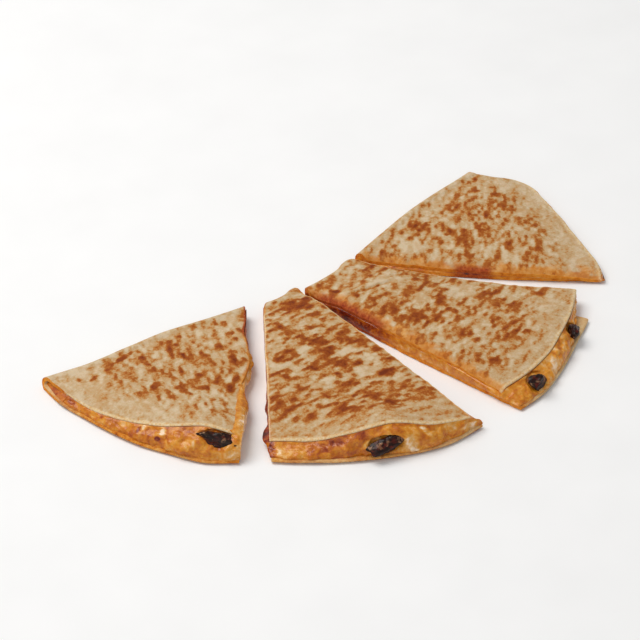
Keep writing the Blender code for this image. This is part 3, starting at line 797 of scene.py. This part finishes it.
def pale_edge(wedge, place, on_flap, distances):
    """How pale the flap's edge is, at its rim and at those cuts where it shows."""
    rough = 1 + 0.5 * layered_noise(place, 4.0, 2, 171)
    pale = 1 - smooth_step(0.5, 1.9, on_flap * rough)
    for width, distance in zip(wedge.pale, distances):
        if width:
            pale = np.maximum(pale, 1 - smooth_step(0.4 * width, width, distance * rough))
    return pale


def cut_sear(wedge, share, depth, distances):
    """How dark red a cut's edge is, where the filling's juice ran down it, beside the cut's dark
    tones, some of which are painted shade.
    """
    along = along_cut(wedge, wedge.base, share, depth)
    total = 0.0
    for side in (0, 1):
        red = 1 - smooth_step(-0.6, -0.15, smooth_value(wedge.cut_tones_and_painted_light[side], along))
        total = total + red * (1 - smooth_step(0.5, wedge.sear, distances[side]))
    return np.clip(total, 0.0, 1.0)


def golden_edge(wedge, place, depth, distances):
    """How golden and greasy the skin is beside a cut."""
    rough = 1 + 1.3 * layered_noise(place, 4.0, 3, 161)
    gold = 0.0
    for width, distance in zip(wedge.tint, distances):
        if width:
            gold = gold + 1 - smooth_step(0.4, 1.2, distance / (width * np.maximum(rough, 0.3)))
    return np.clip(gold, 0.0, 1.0) * smooth_step(1.0, 6.0, depth)


def flap_relief(place, toasted):
    """The skin's real relief: blisters where it is toasted, and the flour's fine unevenness."""
    blister = 0.26 * smooth_step(-0.5, 0.7, toasted)
    fine = 0.14 * layered_noise(place, 1.9, 2, 91) + 0.22 * layered_noise(place, 6.0, 2, 92)
    return blister + fine


def cheese_back(wedge, share, floor, bend):
    """The filling's edge in the fold: its upper and lower surface, and their depths."""
    radius = bend - floor
    back = math.radians(BACK_ANGLE)
    depth = bend - radius * math.sin(back)
    rise = radius * math.cos(back)
    upper = raised(plan_point(wedge, wedge.flap, share, depth), bend + rise)
    lower = raised(plan_point(wedge, wedge.base, share, depth), bend - rise)
    return upper, lower, depth


def cheese_body(wedge, share, floor, bend):
    """The filling under the flap: its upper and lower surface, and their depths."""
    reach = full_depth(wedge, wedge.flap, share)
    depth = bend + (reach - bend) * np.linspace(0, 1, CHEESE_STEPS + 1)[None, :] ** 0.8
    wide = np.broadcast_to(share, depth.shape)
    plan = plan_point(wedge, wedge.flap, wide, depth)
    top = flap_height(wedge, wide, depth) + undulation(depth, plan)
    distances = side_distance(wedge, wedge.flap, wide, depth)
    top = top - edge_drop(wedge, depth, distances) + bared_rise(wedge, wide, depth, distances)
    lower = raised(plan_point(wedge, wedge.base, wide, depth), floor)
    return raised(plan, top - floor), lower, depth


def cheese_nose(wedge, share, floor, lip):
    """The filling's front, from its height at the flap's rim down to the base's rim: its upper and
    lower surface, their depths, and how far down the front each point is.
    """
    out = np.sin(np.linspace(0, math.pi / 2, NOSE_STEPS + 1))[None, 1:]
    wide = np.broadcast_to(share, (share.shape[0], NOSE_STEPS))
    flap_rim = rim_point(wedge.flap, wide)
    base_rim = rim_point(wedge.base, wide)
    radius = np.hypot(base_rim[..., 0], base_rim[..., 1])
    inset = smooth_value(wedge.inset, wide)
    inset = inset - 1.3 * layered_noise(raised(base_rim, 2.0), 6.0, 3, 101)
    spare = radius - np.hypot(flap_rim[..., 0], flap_rim[..., 1]) - NARROWEST_NOSE
    inset = np.clip(inset, LEAST_INSET, np.maximum(spare, LEAST_INSET))
    edge = base_rim * (1 - inset / radius)[..., None]
    plan = flap_rim + (edge - flap_rim) * out[..., None]
    foot = floor + FRONT_FACE
    from_lip = np.linalg.norm(plan - flap_rim, axis=-1)
    round_off = np.sqrt(1 - out**2)
    swell = LIP_SWELL * np.exp(-((from_lip / 1.5) ** 2)) * round_off
    upper = raised(plan, blend(foot, np.maximum(lip, foot), round_off) + swell)
    depth = smooth_value(wedge.fold_out, wide) - plan[..., 1]
    under = plan_point(wedge, wedge.base, wide, depth)
    under = under + (plan - under) * out[..., None]
    return upper, raised(under, floor), depth, out + 0 * wide


def cheese_surfaces(wedge):
    """The filling's upper and lower surfaces as grids of points, with how far each point is down
    the front, its depth and its share.
    """
    first = TIP_INSET if isinstance(wedge.base.left, Tip) else 0.0
    last = 1 - TIP_INSET if isinstance(wedge.base.right, Tip) else 1.0
    share = blend(first, last, share_stops(CHEESE_SHARES)[:, None])
    floor = THICKNESS - TUCK
    bend = smooth_value(wedge.fold_heights, share) / 2
    back = cheese_back(wedge, share, floor, bend)
    body = cheese_body(wedge, share, floor, bend)
    nose = cheese_nose(wedge, share, floor, body[0][:, -1:, 2])
    upper, lower, depth = (np.concatenate(grids, axis=1) for grids in zip(back, body, nose))
    front = np.concatenate((np.zeros_like(depth[:, :-NOSE_STEPS]), nose[-1]), axis=1)
    return upper, lower, front, depth, share


def bared_rise(wedge, share, depth, distances):
    """How much the filling swells beside a cut where the flap stays back from it."""
    along = along_cut(wedge, wedge.flap, share, depth)
    rise = 0.0
    for side in (0, 1):
        bare = np.maximum(smooth_value(wedge.trim[side], along), 0.0)
        bared = 1 - smooth_step(0.6, 1.3, distances[side] / (bare + 0.01))
        swell = np.minimum(0.75 * bare, 1.5) * bared
        rise = rise + swell * (0.45 + 0.55 * smooth_step(0.0, 0.9, distances[side]))
    return rise


def outward(side, sign):
    """The direction, in plan, in which the filling stands out of a cut."""
    if isinstance(side, Tip):
        return np.zeros(2)
    aim = math.radians(side.direction)
    return sign * np.array((math.sin(aim), -math.cos(aim)))


def grid_normals(grid):
    """Unit normals of a grid of points."""
    along = np.gradient(grid, axis=0)
    across = np.gradient(grid, axis=1)
    normal = np.cross(along, across)
    return normal / np.maximum(np.linalg.norm(normal, axis=-1, keepdims=True), 1e-9)


# The levels, from a cut's foot to its top, at which the two surfaces meet it, and how far from the
# cut they move with what stands out of it.
UPPER_LEVEL = 0.94
LOWER_LEVEL = 0.03
OOZE_SPREAD = 1.2


def roughen_cheese(wedge, seed, upper, lower, front, depth, share):
    """Lumps and hollows of the filling's front, and what stands out of its cuts."""
    normal = grid_normals(upper)
    normal *= np.sign(normal[..., 2:3] + 1e-9)
    lumps = layered_noise(upper, 4.6, 3, 111)
    fine = layered_noise(upper, 1.5, 2, 121)
    sharp = np.abs(layered_noise(upper * np.array((1.0, 1.0, 1.6)), 3.0, 2, 131))
    height = (1.2 * lumps + 0.16 * fine - 0.45 * (sharp - 0.2)) * smooth_step(0.02, 0.4, front)
    open_width = np.linalg.norm(upper[:, -1:, :2] - rim_point(wedge.flap, share), axis=-1)
    height = height * smooth_step(0.5, 4.0, open_width)
    upper = upper + normal * height[..., None]
    upper[..., 2] = np.maximum(upper[..., 2], THICKNESS + 0.12)
    upper = upper - dents(wedge, upper)
    widths = side_distance(wedge, wedge.flap, np.broadcast_to(share, depth.shape), depth)
    along = along_cut(wedge, wedge.base, share, depth)
    for grid, level in ((upper, UPPER_LEVEL), (lower, LOWER_LEVEL)):
        for side, sign, distance, ooze in (
            (wedge.flap.left, 1.0, widths[0], wedge.ooze[0]),
            (wedge.flap.right, -1.0, widths[1], wedge.ooze[1]),
        ):
            push = cut_push(grid, ooze, along, level, seed)
            fade = np.exp(-((distance / OOZE_SPREAD) ** 2))
            grid[..., :2] += (push * fade)[..., None] * outward(side, sign)
    return upper, lower


def dents(wedge, place):
    """The hollows in which the steak sits, towards the middle of the tortilla."""
    inward = place * np.array((1.0, 1.0, 0.0))
    inward = inward / np.maximum(np.linalg.norm(inward, axis=-1, keepdims=True), 1e-9)
    total = 0.0
    for chunk in wedge.chunks:
        offset = place - np.array(chunk.middle)
        along, across = turned(offset[..., 0], offset[..., 1], chunk.turn)
        far = np.sqrt((along / chunk.half[0]) ** 2 + (across / (chunk.half[1] + 2.0)) ** 2
                      + (offset[..., 2] / (chunk.half[2] + 0.6)) ** 2)
        total = total + 3.0 * (1 - smooth_step(0.75, 1.15, far))
    return inward * np.asarray(total)[..., None]


def filling_tone(wedge, across, front, along, distances):
    """The filling's tone: below 0 red, 0 orange, and towards 1 yellow and then creamy. Its
    brightest places are painted highlights.
    """
    tone = smooth_value(wedge.front_tones, across)
    # The brightest of these places paint highlights on the cheese.
    for share, down, half_share, half_down, offset in wedge.melt_and_highlights:
        far = np.hypot((across - share) / half_share, (front - down) / half_down)
        tone = tone + 1.2 * offset * (1 - smooth_step(0.65, 1.15, far))
    # At the cuts the tone comes from the cut's list, which holds painted highlights and painted
    # shade as well as the filling's own colour.
    for side in (0, 1):
        at_cut = smooth_value(wedge.cut_tones_and_painted_light[side], along)
        tone = tone + (at_cut - tone) * (1 - smooth_step(0.5, 3.0, distances[side]))
    return tone


def cut_push(place, ooze, along, level, seed):
    """How far the filling stands out of a cut, at a level from 0 at its foot to 1 at its top."""
    bulge = smooth_value(ooze, along) * (1 - (2 * level - 1) ** 2)
    rough = layered_noise(place, 2.6, 3, 141 + seed)
    lump = layered_noise(place * np.array((1, 1, 0.5)), 8.0, 2, 151 + seed)
    return bulge * (0.9 + 0.9 * lump) + 0.16 * rough


# ---------------------------------------------------------------- meshes

def cap_rows(first, last, rows):
    """The points between the facing edges of two grids' end lines, row by row."""
    steps = np.arange(1, rows) / rows
    return first[None] + (last - first)[None] * steps[:, None, None]


def cap_faces(outer_ids, inner_ids, middle_ids, flip):
    """Quads over the end of a closed grid, with one larger face at each of its tips."""
    count = len(outer_ids)
    rows = [outer_ids] + [np.concatenate(([-1], ids, [-1])) for ids in middle_ids] + [inner_ids]
    faces = []
    for r in range(len(rows) - 1):
        for j in range(1, count - 2):
            faces.append((rows[r][j + 1], rows[r][j], rows[r + 1][j], rows[r + 1][j + 1]))
    start = [rows[0][1], rows[0][0], rows[-1][0]] + [row[1] for row in rows[:0:-1]]
    end = [rows[0][count - 1]] + [row[count - 2] for row in rows] + [rows[-1][count - 1]]
    faces += [tuple(start), tuple(end)]
    return [face[::-1] for face in faces] if flip else faces


def closed_mesh(name, outer, inner, looks, rows, push=None):
    """A closed mesh from an outer and an inner grid that meet along both rims, with capped ends.

    looks holds, for each named value, its grids for the outer and the inner surface. cap is a value
    of its own: 1 on the ends and 0 elsewhere. push moves the ends' points.
    """
    count, half = outer.shape[:2]
    ring = np.concatenate((outer, inner[:, ::-1]), axis=1)
    ids = np.arange(count * 2 * half).reshape(count, 2 * half)
    following = np.roll(ids, -1, axis=1)
    quads = np.stack((ids[:-1], following[:-1], following[1:], ids[1:]), axis=-1).reshape(-1, 4)
    points = [ring.reshape(-1, 3)]
    values = {}
    for key, (a, b) in looks.items():
        values[key] = [np.concatenate((a, b[:, ::-1]), axis=1).ravel()]
    cap = np.zeros((count, 2 * half))
    cap[[0, -1]] = 1.0
    values["cap"] = [cap.ravel()]
    faces = quads.tolist()
    used = count * 2 * half
    for end, flip in ((0, False), (count - 1, True)):
        middle = cap_rows(outer[end], inner[end], rows)[:, 1:-1]
        if push is not None:
            middle = push(middle, end != 0, rows)
        middle_ids = used + np.arange((rows - 1) * (half - 2)).reshape(rows - 1, half - 2)
        used += middle_ids.size
        points.append(middle.reshape(-1, 3))
        for key, (a, b) in looks.items():
            rising = cap_rows(a[end][:, None], b[end][:, None], rows)[:, 1:-1, 0]
            values[key].append(rising.ravel())
        values["cap"].append(np.ones(middle_ids.size))
        outer_ids = ids[end, :half]
        inner_ids = ids[end, half:][::-1]
        faces += cap_faces(outer_ids, inner_ids, middle_ids, flip)
    mesh = bpy.data.meshes.new(name)
    mesh.from_pydata(np.concatenate(points).tolist(), [], faces)
    for key, parts in values.items():
        attribute = mesh.attributes.new(key, "FLOAT", "POINT")
        attribute.data.foreach_set("value", np.concatenate(parts).astype(np.float32))
    return mesh


def signed_volume(mesh):
    corners = np.zeros(len(mesh.vertices) * 3)
    mesh.vertices.foreach_get("co", corners)
    corners = corners.reshape(-1, 3)
    mesh.calc_loop_triangles()
    triangles = np.zeros(len(mesh.loop_triangles) * 3, int)
    mesh.loop_triangles.foreach_get("vertices", triangles)
    a, b, c = (corners[triangles.reshape(-1, 3)[:, i]] for i in range(3))
    return float((a * np.cross(b, c)).sum()) / 6


# Edges that turn by more than this are shown sharp.
SHARP_ANGLE = 50.0


def make_piece(name, mesh, material, node):
    """An object from a mesh in metres and in the row's frame, standing for its CAD node."""
    if signed_volume(mesh) < 0:
        mesh.flip_normals()
    mesh.materials.append(material)
    mesh.shade_smooth()
    mesh.set_sharp_from_angle(angle=math.radians(SHARP_ANGLE))
    obj = bpy.data.objects.new(name, mesh)
    bpy.context.scene.collection.objects.link(obj)
    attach(obj, "root")
    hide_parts(node)


def wedge_placement(wedge):
    """The matrix from the wedge's design, in millimetres, to the row's frame, in metres.

    It turns the wedge, and sets its outline's box on the box of its CAD tortilla.
    """
    share = np.linspace(0, 1, 121)
    outline = [rim_point(wedge.base, share), rim_point(wedge.flap, share)]
    zero = np.zeros_like(share)
    outline.append(plan_point(wedge, wedge.base, share, zero))
    outline.append(plan_point(wedge, wedge.flap, share, zero))
    outline = np.concatenate(outline)
    x, y = turned(outline[:, 0], outline[:, 1], -wedge.turn)
    low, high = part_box(f"{wedge.name}_tortilla")
    shift_x = (low.x + high.x) / 2 - MM * (x.min() + x.max()) / 2
    shift_y = (low.y + high.y) / 2 - MM * (y.min() + y.max()) / 2
    turn = Matrix.Rotation(math.radians(wedge.turn), 4, "Z")
    return Matrix.Translation((shift_x, shift_y, 0.0)) @ turn @ Matrix.Scale(MM, 4)


def make_tortilla(wedge, seed, material, place):
    outer, inner, looks = tortilla_surfaces(wedge, seed)
    name = f"{wedge.name}_tortilla"
    mesh = closed_mesh(name + "_skin", outer, inner, looks, TORTILLA_CAP_ROWS)
    mesh.transform(place)
    make_piece(name + "_skin", mesh, material, name)


def make_cheese(wedge, seed, material, place):
    upper, lower, front, depth, share = cheese_surfaces(wedge)
    upper, lower = roughen_cheese(wedge, seed, upper, lower, front, depth, share)
    along = along_cut(wedge, wedge.base, share, depth)
    across = np.broadcast_to(share, depth.shape)
    distances = side_distance(wedge, wedge.flap, across, depth)
    tone = filling_tone(wedge, across, front, along, distances)
    looks = {"tone": (tone, tone), "front": (front, front)}

    def push(middle, right, rows):
        side, sign = (wedge.flap.right, -1.0) if right else (wedge.flap.left, 1.0)
        ooze = wedge.ooze[1] if right else wedge.ooze[0]
        if isinstance(side, Tip):
            return middle
        line = along[-1 if right else 0, 1:-1]
        for row in range(rows - 1):
            level = 1 - (row + 1) / rows
            amount = cut_push(middle[row], ooze, line, level, seed)
            middle[row, :, :2] += amount[:, None] * outward(side, sign)
        return middle

    name = f"{wedge.name}_cheese"
    mesh = closed_mesh(name + "_melted", upper, lower, looks, CHEESE_CAP_ROWS, push)
    mesh.transform(place)
    make_piece(name + "_melted", mesh, material, name)


# How finely a chunk is divided, how boxy and how lumpy it is, and how deep its fibres and pits are.
CHUNK_LEVEL = 5
BOXY = 4.0
LUMPS = 0.28
CHUNK_ROUGH = 0.35

# How many torn faces a chunk has, and how far from its middle they are, as a share of its reach.
FACES = 8
FACE_DEPTH = 0.68


def torn_faces(form, half, seed):
    """A form cut down by a few planes, as meat tears, and how much each point is on such a face."""
    torn = np.zeros(len(form))
    for k in range(FACES):
        turn = 2.4 * k + 1.7 * seed
        rise = math.sin(1.9 * k + seed)
        facing = np.array((math.cos(turn), math.sin(turn), rise))
        facing = facing / np.array(half)
        facing = facing / np.linalg.norm(facing)
        reach = form @ facing
        cut = np.maximum(reach - FACE_DEPTH * reach.max(), 0.0)
        form = form - 0.85 * cut[:, None] * facing
        if k % 3 == 0:
            torn = np.maximum(torn, 0.45 * smooth_step(0.0, 0.35, cut))
    return form, torn


def make_chunk(node, chunk, material, place):
    """A chunk as in the CAD, with torn faces and with fibres along it."""
    made = bmesh.new()
    bmesh.ops.create_icosphere(made, subdivisions=CHUNK_LEVEL, radius=1.0)
    aims = np.array([v.co.normalized() for v in made.verts])
    spread = (np.abs(aims) ** BOXY).sum(axis=1) ** (1 / BOXY)
    shift = Vector((chunk.seed, 0.0, 0.0)) * 7
    lump = np.array([1 + LUMPS * blender_noise.noise(Vector(aim) * 1.3 + shift) for aim in aims])
    form = aims * (lump / spread)[:, None]
    form[:, 0] *= 1 - chunk.taper * form[:, 2]
    form = form * np.array(chunk.half)
    form, torn = torn_faces(form, chunk.half, chunk.seed)
    seed = int(chunk.seed * 10)
    fibre = layered_noise(form / np.array((4.0, 1.0, 1.0)), 1.3, 3, 201 + seed)
    pits = layered_noise(form, 2.4, 3, 211 + seed)
    form = form + aims * (CHUNK_ROUGH * (fibre + 1.2 * pits))[:, None]
    for vertex, co in zip(made.verts, form):
        vertex.co = co
    mesh = bpy.data.meshes.new(node + "_seared")
    made.to_mesh(mesh)
    made.free()
    for key, values in (("fibre", fibre + pits), ("torn", torn + 0.5 * pits)):
        attribute = mesh.attributes.new(key, "FLOAT", "POINT")
        attribute.data.foreach_set("value", values.astype(np.float32))
    turn = Matrix.Rotation(math.radians(chunk.turn), 4, "Z")
    tilt = Matrix.Rotation(math.radians(chunk.tilt), 4, "Y")
    mesh.transform(place @ Matrix.Translation(chunk.middle) @ turn @ tilt)
    make_piece(node + "_seared", mesh, material, node)


# ---------------------------------------------------------------- materials

def linear(colour):
    """A shader colour from the red, green and blue that the eye sees, each from 0 to 1."""
    parts = [c / 12.92 if c <= 0.04045 else ((c + 0.055) / 1.055) ** 2.4 for c in colour]
    return (*parts, 1.0)


class Look:
    """A node material being built. Its methods add a node and give back the socket it makes."""

    def __init__(self, name):
        self.material = bpy.data.materials.new(name)
        self.material.use_nodes = True
        self.nodes = self.material.node_tree.nodes
        self.links = self.material.node_tree.links
        self.nodes.clear()
        self.place = self.nodes.new("ShaderNodeTexCoord").outputs["Object"]

    def feed(self, socket, value):
        if isinstance(value, bpy.types.NodeSocket):
            self.links.new(value, socket)
        else:
            socket.default_value = value

    def value(self, name):
        node = self.nodes.new("ShaderNodeAttribute")
        node.attribute_name = name
        return node.outputs["Fac"]

    def math(self, operation, first, second=0.0, third=0.0):
        node = self.nodes.new("ShaderNodeMath")
        node.operation = operation
        for socket, value in zip(node.inputs, (first, second, third)):
            self.feed(socket, value)
        return node.outputs[0]

    def noise(self, pitch, detail=3.0, roughness=0.55, distortion=0.0, stretch=None):
        """Noise of about -1 to 1, of this pitch in millimetres, stretched along the three axes."""
        place = self.place
        if stretch:
            node = self.nodes.new("ShaderNodeMapping")
            self.links.new(place, node.inputs["Vector"])
            node.inputs["Scale"].default_value = [1 / s for s in stretch]
            place = node.outputs[0]
        node = self.nodes.new("ShaderNodeTexNoise")
        self.links.new(place, node.inputs["Vector"])
        node.inputs["Scale"].default_value = 1 / (pitch * MM)
        node.inputs["Detail"].default_value = detail
        node.inputs["Roughness"].default_value = roughness
        node.inputs["Distortion"].default_value = distortion
        return self.math("MULTIPLY_ADD", node.outputs["Fac"], 4.0, -2.0)

    def between(self, value, low, high):
        """0 below low, 1 above high and smooth between them."""
        node = self.nodes.new("ShaderNodeMapRange")
        node.interpolation_type = "SMOOTHSTEP"
        self.feed(node.inputs["Value"], value)
        node.inputs["From Min"].default_value = low
        node.inputs["From Max"].default_value = high
        return node.outputs["Result"]

    def ramp(self, value, stops):
        """A colour for each value: stops are pairs of a value and a colour, in rising order."""
        low, high = stops[0][0], stops[-1][0]
        node = self.nodes.new("ShaderNodeValToRGB")
        scale = 1 / (high - low)
        self.links.new(self.math("MULTIPLY_ADD", value, scale, -low * scale), node.inputs["Fac"])
        elements = node.color_ramp.elements
        while len(elements) < len(stops):
            elements.new(0.5)
        for element, (stop, colour) in zip(elements, stops):
            element.position = (stop - low) * scale
            element.color = linear(colour)
        return node.outputs["Color"]

    def mix(self, share, first, second):
        node = self.nodes.new("ShaderNodeMix")
        node.data_type = "RGBA"
        self.feed(node.inputs["Factor"], share)
        self.feed(node.inputs["A"], linear(first) if isinstance(first, tuple) else first)
        self.feed(node.inputs["B"], linear(second) if isinstance(second, tuple) else second)
        return node.outputs["Result"]

    def surface(self, colour, roughness, height=None, depth=0.0, **settings):
        """The shader: colour, roughness, fine bump this deep in millimetres, and plain settings."""
        shader = self.nodes.new("ShaderNodeBsdfPrincipled")
        self.feed(shader.inputs["Base Color"], colour)
        self.feed(shader.inputs["Roughness"], roughness)
        for name, value in settings.items():
            shader.inputs[name.replace("_", " ")].default_value = value
        if height is not None:
            bump = self.nodes.new("ShaderNodeBump")
            bump.inputs["Strength"].default_value = 1.0
            bump.inputs["Distance"].default_value = depth * MM
            self.links.new(height, bump.inputs["Height"])
            self.links.new(bump.outputs["Normal"], shader.inputs["Normal"])
        output = self.nodes.new("ShaderNodeOutputMaterial")
        self.links.new(shader.outputs["BSDF"], output.inputs["Surface"])
        return self.material


def tortilla_look():
    """Floury cream skin, griddled to gold and brown, with golden cut edges and a pale lip."""
    look = Look("griddled_tortilla")
    middle = look.noise(2.0, 2.0, 0.5, 0.4)
    fine = look.noise(1.0, 3.0, 0.62)
    speck = look.noise(0.5, 2.0, 0.5)
    toasted = look.math("MULTIPLY_ADD", middle, 0.34, look.value("toast"))
    toasted = look.math("MULTIPLY_ADD", fine, 0.26, toasted)
    toasted = look.math("MULTIPLY_ADD", speck, 0.06, toasted)
    skin = look.ramp(toasted, ((-1.30, (0.84, 0.75, 0.62)), (-0.80, (0.80, 0.69, 0.54)),
                               (-0.44, (0.77, 0.63, 0.45)), (-0.16, (0.75, 0.55, 0.33)),
                               (0.06, (0.71, 0.45, 0.20)), (0.32, (0.65, 0.35, 0.10)),
                               (0.80, (0.57, 0.26, 0.04)), (1.50, (0.45, 0.17, 0.02))))
    broad = look.noise(8.0, 3.0, 0.6)
    warm = look.mix(look.between(broad, -0.2, 1.4), skin, (0.76, 0.57, 0.34))
    colour = look.mix(look.between(toasted, -0.2, -0.9), skin, warm)
    inside = look.ramp(look.noise(4.0, 3.0),
                       ((-0.6, (0.87, 0.77, 0.59)), (0.6, (0.82, 0.65, 0.43))))
    colour = look.mix(look.between(look.value("skin"), 0.3, 0.7), inside, colour)
    gold = look.ramp(look.math("MULTIPLY_ADD", middle, 0.7, look.noise(6.0, 3.0, 0.55)),
                     ((-1.1, (0.88, 0.67, 0.40)), (0.0, (0.83, 0.54, 0.22)),
                      (1.1, (0.74, 0.40, 0.10))))
    shown = look.math("MULTIPLY_ADD", look.between(toasted, 0.0, 0.5), -0.45, 0.88)
    colour = look.mix(look.math("MULTIPLY", look.value("gold"), shown), colour, gold)
    edge = look.ramp(look.noise(2.6, 3.0, 0.6),
                     ((-0.9, (0.91, 0.64, 0.27)), (0.1, (0.87, 0.53, 0.14)),
                      (1.0, (0.74, 0.36, 0.07))))
    colour = look.mix(look.between(look.value("cap"), 0.2, 0.7), colour, edge)
    juice = look.ramp(look.math("MULTIPLY_ADD", middle, 0.5, fine),
                      ((-1.0, (0.74, 0.36, 0.16)), (0.0, (0.64, 0.23, 0.11)),
                       (1.0, (0.48, 0.12, 0.06))))
    colour = look.mix(look.math("MULTIPLY", look.value("sear"), 0.85), colour, juice)
    melted = look.ramp(look.math("MULTIPLY_ADD", fine, 0.5, look.noise(4.0, 3.0, 0.6)),
                       ((-1.0, (0.90, 0.68, 0.36)), (-0.2, (0.85, 0.55, 0.18)),
                        (0.5, (0.77, 0.42, 0.10)), (1.1, (0.58, 0.27, 0.07))))
    colour = look.mix(look.value("stain"), colour, melted)
    lip = look.ramp(fine, ((-0.9, (0.93, 0.86, 0.74)), (0.1, (0.90, 0.78, 0.58)),
                           (0.9, (0.86, 0.64, 0.38))))
    colour = look.mix(look.math("MULTIPLY", look.value("lip"), 0.85), colour, lip)
    roughness = look.math("MULTIPLY_ADD", look.between(toasted, -0.2, 0.6), -0.16, 0.75)
    grain = look.math("MULTIPLY_ADD", fine, 0.8, speck)
    return look.surface(colour, roughness, grain, 0.05, Subsurface_Weight=0.05,
                        Subsurface_Scale=0.002, Specular_IOR_Level=0.15)


def cheese_look():
    """Melted cheese and sauce: orange with dark red, yellow and creamy bits, painted highlights
    and, along some cuts, painted shade, and moist.
    """
    look = Look("melted_cheese")
    streaks = look.noise(4.0, 2.0, 0.5, 0.6)
    small = look.noise(1.5, 3.0, 0.6, 0.5)
    tone = look.math("MULTIPLY_ADD", streaks, 0.70, look.value("tone"))
    tone = look.math("MULTIPLY_ADD", small, 0.32, tone)
    # The tone's near-white top end is painted highlight, and along some cuts its dark red end is
    # partly painted shade.
    colour = look.ramp(tone, ((-1.5, (0.22, 0.07, 0.04)), (-1.0, (0.46, 0.13, 0.05)),
                              (-0.55, (0.63, 0.28, 0.08)), (-0.15, (0.74, 0.40, 0.07)),
                              (0.20, (0.80, 0.47, 0.09)), (0.60, (0.86, 0.57, 0.16)),
                              (1.00, (0.89, 0.67, 0.38)), (1.60, (0.97, 0.86, 0.73))))
    roughness = look.math("MULTIPLY_ADD", small, 0.06, 0.32)
    return look.surface(colour, roughness, small, 0.10, Subsurface_Weight=0.08,
                        Subsurface_Scale=0.0015, Specular_IOR_Level=0.25, Coat_Weight=0.25,
                        Coat_Roughness=0.08)


def steak_look():
    """Seared steak: near black and moist, with dark red and with light brown where it is torn."""
    look = Look("seared_steak")
    fibre = look.math("MULTIPLY_ADD", look.noise(1.2, 3.0, 0.6), 0.35, look.value("fibre"))
    seared = look.ramp(fibre, ((-0.9, (0.34, 0.09, 0.04)), (-0.3, (0.18, 0.06, 0.03)),
                               (0.3, (0.09, 0.04, 0.025)), (0.9, (0.27, 0.17, 0.11))))
    torn = look.ramp(fibre, ((-0.8, (0.36, 0.18, 0.10)), (0.1, (0.53, 0.37, 0.26)),
                             (0.9, (0.72, 0.58, 0.45))))
    opened = look.math("MULTIPLY_ADD", look.noise(2.8, 2.0, 0.5, 0.6), 0.85, look.value("torn"))
    colour = look.mix(look.between(opened, 0.35, 0.75), seared, torn)
    red = look.between(look.noise(2.6, 2.0, 0.5), 0.3, 0.9)
    colour = look.mix(look.math("MULTIPLY", red, 0.7), colour, (0.42, 0.13, 0.07))
    return look.surface(colour, 0.5, fibre, 0.12, Specular_IOR_Level=0.12, Coat_Weight=0.22,
                        Coat_Roughness=0.05)


def floor_look():
    look = Look("pale_floor")
    colour = look.ramp(look.noise(40.0, 2.0),
                       ((-1.0, (0.97, 0.97, 0.97)), (1.0, (0.985, 0.985, 0.985))))
    return look.surface(colour, 0.9)


# ---------------------------------------------------------------- the scene

CAMERA_AZIMUTH = -41.0
CAMERA_ELEVATION = 37.0
CAMERA_DISTANCE = 1.2
LENS = 145.7
AIM = Vector((-0.01125, 0.02844, 0.0))
AIM_RIGHT = -0.00083
AIM_UP = 0.00255

WORLD_STRENGTH = 0.42
FLOOR_REACH = 6.0
FLOOR_GAP = 0.0002


def view_axes(azimuth, elevation):
    """The right, up and back directions of a camera that looks from there at the origin."""
    a, e = math.radians(azimuth), math.radians(elevation)
    right = Vector((math.cos(a), math.sin(a), 0.0))
    back = Vector((math.sin(a) * math.cos(e), -math.cos(a) * math.cos(e), math.sin(e)))
    return right, back.cross(right), back


def make_camera():
    right, up, back = view_axes(CAMERA_AZIMUTH, CAMERA_ELEVATION)
    data = bpy.data.cameras.new("camera")
    data.lens = LENS
    data.sensor_width = 36.0
    data.clip_end = 50.0
    camera = bpy.data.objects.new("camera", data)
    axes = Matrix((right, up, back)).transposed().to_4x4()
    aim = AIM + right * AIM_RIGHT + up * AIM_UP
    camera.matrix_world = Matrix.Translation(aim + back * CAMERA_DISTANCE) @ axes
    bpy.context.scene.collection.objects.link(camera)
    bpy.context.scene.camera = camera


def make_light(name, azimuth, elevation, distance, size, watts, colour):
    """A square soft light aimed at the food."""
    back = view_axes(azimuth, elevation)[2]
    data = bpy.data.lights.new(name, "AREA")
    data.shape = "SQUARE"
    data.size = size
    data.energy = watts
    data.color = colour
    light = bpy.data.objects.new(name, data)
    light.location = back * distance
    light.rotation_euler = back.to_track_quat("Z", "Y").to_euler()
    bpy.context.scene.collection.objects.link(light)


def make_floor():
    mesh = bpy.data.meshes.new("floor")
    reach = FLOOR_REACH
    corners = [(-reach, -reach, 0), (reach, -reach, 0), (reach, reach, 0), (-reach, reach, 0)]
    mesh.from_pydata(corners, [], [(0, 1, 2, 3)])
    mesh.materials.append(floor_look())
    floor = bpy.data.objects.new("floor", mesh)
    floor.location.z = -FLOOR_GAP
    bpy.context.scene.collection.objects.link(floor)


def make_world():
    world = bpy.data.worlds.new("studio")
    world.use_nodes = True
    background = world.node_tree.nodes["Background"]
    background.inputs["Color"].default_value = (1.0, 1.0, 1.0, 1.0)
    background.inputs["Strength"].default_value = WORLD_STRENGTH
    bpy.context.scene.world = world


def make_food():
    tortilla = tortilla_look()
    cheese = cheese_look()
    steak = steak_look()
    for seed, wedge in enumerate(WEDGES, 1):
        place = wedge_placement(wedge)
        make_tortilla(wedge, seed, tortilla, place)
        make_cheese(wedge, seed, cheese, place)
        for chunk in wedge.chunks:
            make_chunk(f"{wedge.name}_{chunk.name}", chunk, steak, place)


def main():
    make_food()
    make_floor()
    make_world()
    make_light("overhead", -150.0, 62.0, 1.6, 1.0, 16.5, (1.0, 0.99, 0.97))
    make_light("front_fill", -60.0, 35.0, 2.0, 1.2, 4.0, (1.0, 0.99, 0.98))
    make_camera()
    bpy.context.scene.view_settings.view_transform = "Standard"


main()
